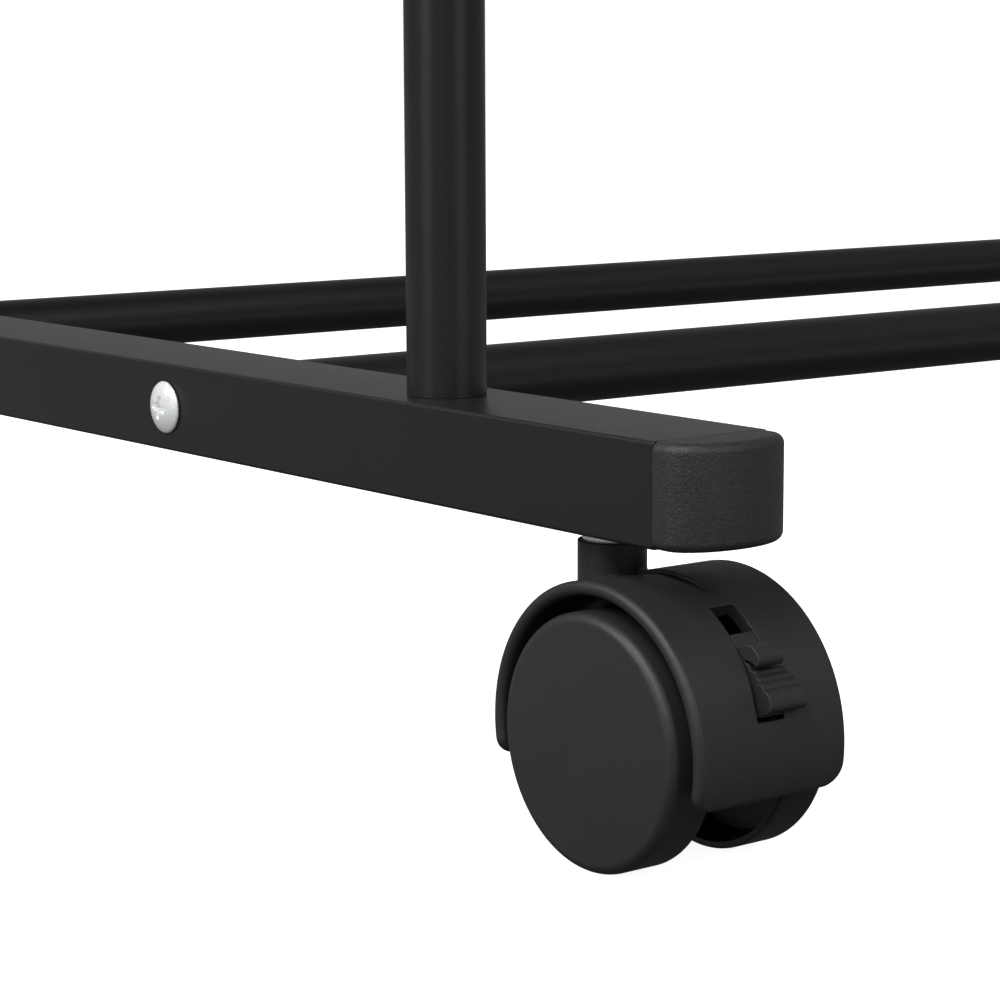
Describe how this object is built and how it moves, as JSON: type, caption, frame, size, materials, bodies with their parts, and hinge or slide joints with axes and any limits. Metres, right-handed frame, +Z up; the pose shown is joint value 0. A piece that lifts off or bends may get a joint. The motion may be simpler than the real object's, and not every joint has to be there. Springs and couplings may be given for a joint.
{
  "type": "rolling clothes rack",
  "caption": "Rolling clothes rack: black steel side frames on rectangular foot rails with swivelling twin-wheel casters, round shelf rods below and hanging bars on top.",
  "frame": {"origin": "on the floor, under the middle of the rack", "axes": "+Z up, +X along the hanging bars towards the right side frame, +Y along the foot rails towards the back"},
  "size_m": [1.1118, 0.5732, 1.5026],
  "materials": {
    "black_powder_coat": "semi-gloss powder coat",
    "black_cap_plastic": "fine-grained moulded",
    "black_hood_plastic": "satin, lightly grained",
    "black_wheel_plastic": "satin",
    "zinc_plate": "bright zinc plate"
  },
  "bodies": {
    "rack_frame": {"foot_rail_left": "black_powder_coat", "top_bar_left": "black_powder_coat", "foot_rail_right": "black_powder_coat", "top_bar_right": "black_powder_coat", "shelf_rod_front": "black_powder_coat", "hanging_bar_front": "black_powder_coat", "shelf_rod_rear": "black_powder_coat", "hanging_bar_rear": "black_powder_coat", "upright_front_left": "black_powder_coat", "foot_cap_front_left": "black_cap_plastic", "top_cap_front_left": "black_cap_plastic", "shelf_rod_screw_front_left": "zinc_plate", "hanging_bar_screw_front_left": "zinc_plate", "upright_screw_bottom_front_left": "zinc_plate", "upright_screw_top_front_left": "zinc_plate", "caster_stem_front_left": "zinc_plate", "upright_rear_left": "black_powder_coat", "foot_cap_rear_left": "black_cap_plastic", "top_cap_rear_left": "black_cap_plastic", "shelf_rod_screw_rear_left": "zinc_plate", "hanging_bar_screw_rear_left": "zinc_plate", "upright_screw_bottom_rear_left": "zinc_plate", "upright_screw_top_rear_left": "zinc_plate", "caster_stem_rear_left": "zinc_plate", "upright_front_right": "black_powder_coat", "foot_cap_front_right": "black_cap_plastic", "top_cap_front_right": "black_cap_plastic", "shelf_rod_screw_front_right": "zinc_plate", "hanging_bar_screw_front_right": "zinc_plate", "upright_screw_bottom_front_right": "zinc_plate", "upright_screw_top_front_right": "zinc_plate", "caster_stem_front_right": "zinc_plate", "upright_rear_right": "black_powder_coat", "foot_cap_rear_right": "black_cap_plastic", "top_cap_rear_right": "black_cap_plastic", "shelf_rod_screw_rear_right": "zinc_plate", "hanging_bar_screw_rear_right": "zinc_plate", "upright_screw_bottom_rear_right": "zinc_plate", "upright_screw_top_rear_right": "zinc_plate", "caster_stem_rear_right": "zinc_plate"},
    "caster_front_left": {"caster_hood_front_left": "black_hood_plastic", "caster_axle_front_left": "zinc_plate"},
    "wheel_outer_front_left_body": {"wheel_outer_front_left": "black_wheel_plastic"},
    "wheel_inner_front_left_body": {"wheel_inner_front_left": "black_wheel_plastic"},
    "brake_front_left": {"brake_slider_front_left": "black_hood_plastic"},
    "caster_rear_left": {"caster_hood_rear_left": "black_hood_plastic", "caster_axle_rear_left": "zinc_plate"},
    "wheel_outer_rear_left_body": {"wheel_outer_rear_left": "black_wheel_plastic"},
    "wheel_inner_rear_left_body": {"wheel_inner_rear_left": "black_wheel_plastic"},
    "brake_rear_left": {"brake_slider_rear_left": "black_hood_plastic"},
    "caster_front_right": {"caster_hood_front_right": "black_hood_plastic", "caster_axle_front_right": "zinc_plate"},
    "wheel_outer_front_right_body": {"wheel_outer_front_right": "black_wheel_plastic"},
    "wheel_inner_front_right_body": {"wheel_inner_front_right": "black_wheel_plastic"},
    "brake_front_right": {"brake_slider_front_right": "black_hood_plastic"},
    "caster_rear_right": {"caster_hood_rear_right": "black_hood_plastic", "caster_axle_rear_right": "zinc_plate"},
    "wheel_outer_rear_right_body": {"wheel_outer_rear_right": "black_wheel_plastic"},
    "wheel_inner_rear_right_body": {"wheel_inner_rear_right": "black_wheel_plastic"},
    "brake_rear_right": {"brake_slider_rear_right": "black_hood_plastic"}
  },
  "joints": [
    {"name": "swivel_front_left", "type": "hinge", "parent": "rack_frame", "child": "caster_front_left", "pos_m": [-0.5359, -0.2388, 0.0592], "axis": [0, 0, 1], "continuous": true},
    {"name": "wheel_spin_outer_front_left", "type": "hinge", "parent": "caster_front_left", "child": "wheel_outer_front_left_body", "pos_m": [-0.5507, -0.25465, 0.02464], "axis": [1, 0, 0], "continuous": true},
    {"name": "wheel_spin_inner_front_left", "type": "hinge", "parent": "caster_front_left", "child": "wheel_inner_front_left_body", "pos_m": [-0.5211, -0.25465, 0.02464], "axis": [1, 0, 0], "continuous": true},
    {"name": "brake_slide_front_left", "type": "hinge", "parent": "caster_front_left", "child": "brake_front_left", "pos_m": [-0.5359, -0.25465, 0.02464], "axis": [-1, 0, 0], "range_deg": [0, 12.5]},
    {"name": "swivel_rear_left", "type": "hinge", "parent": "rack_frame", "child": "caster_rear_left", "pos_m": [-0.5359, 0.2388, 0.0592], "axis": [0, 0, 1], "continuous": true},
    {"name": "wheel_spin_outer_rear_left", "type": "hinge", "parent": "caster_rear_left", "child": "wheel_outer_rear_left_body", "pos_m": [-0.5507, 0.25465, 0.02464], "axis": [1, 0, 0], "continuous": true},
    {"name": "wheel_spin_inner_rear_left", "type": "hinge", "parent": "caster_rear_left", "child": "wheel_inner_rear_left_body", "pos_m": [-0.5211, 0.25465, 0.02464], "axis": [1, 0, 0], "continuous": true},
    {"name": "brake_slide_rear_left", "type": "hinge", "parent": "caster_rear_left", "child": "brake_rear_left", "pos_m": [-0.5359, 0.25465, 0.02464], "axis": [1, 0, 0], "range_deg": [0, 12.5]},
    {"name": "swivel_front_right", "type": "hinge", "parent": "rack_frame", "child": "caster_front_right", "pos_m": [0.5359, -0.2388, 0.0592], "axis": [0, 0, 1], "continuous": true},
    {"name": "wheel_spin_outer_front_right", "type": "hinge", "parent": "caster_front_right", "child": "wheel_outer_front_right_body", "pos_m": [0.5507, -0.25465, 0.02464], "axis": [1, 0, 0], "continuous": true},
    {"name": "wheel_spin_inner_front_right", "type": "hinge", "parent": "caster_front_right", "child": "wheel_inner_front_right_body", "pos_m": [0.5211, -0.25465, 0.02464], "axis": [1, 0, 0], "continuous": true},
    {"name": "brake_slide_front_right", "type": "hinge", "parent": "caster_front_right", "child": "brake_front_right", "pos_m": [0.5359, -0.25465, 0.02464], "axis": [-1, 0, 0], "range_deg": [0, 12.5]},
    {"name": "swivel_rear_right", "type": "hinge", "parent": "rack_frame", "child": "caster_rear_right", "pos_m": [0.5359, 0.2388, 0.0592], "axis": [0, 0, 1], "continuous": true},
    {"name": "wheel_spin_outer_rear_right", "type": "hinge", "parent": "caster_rear_right", "child": "wheel_outer_rear_right_body", "pos_m": [0.5507, 0.25465, 0.02464], "axis": [1, 0, 0], "continuous": true},
    {"name": "wheel_spin_inner_rear_right", "type": "hinge", "parent": "caster_rear_right", "child": "wheel_inner_rear_right_body", "pos_m": [0.5211, 0.25465, 0.02464], "axis": [1, 0, 0], "continuous": true},
    {"name": "brake_slide_rear_right", "type": "hinge", "parent": "caster_rear_right", "child": "brake_rear_right", "pos_m": [0.5359, 0.25465, 0.02464], "axis": [1, 0, 0], "range_deg": [0, 12.5]}
  ]
}
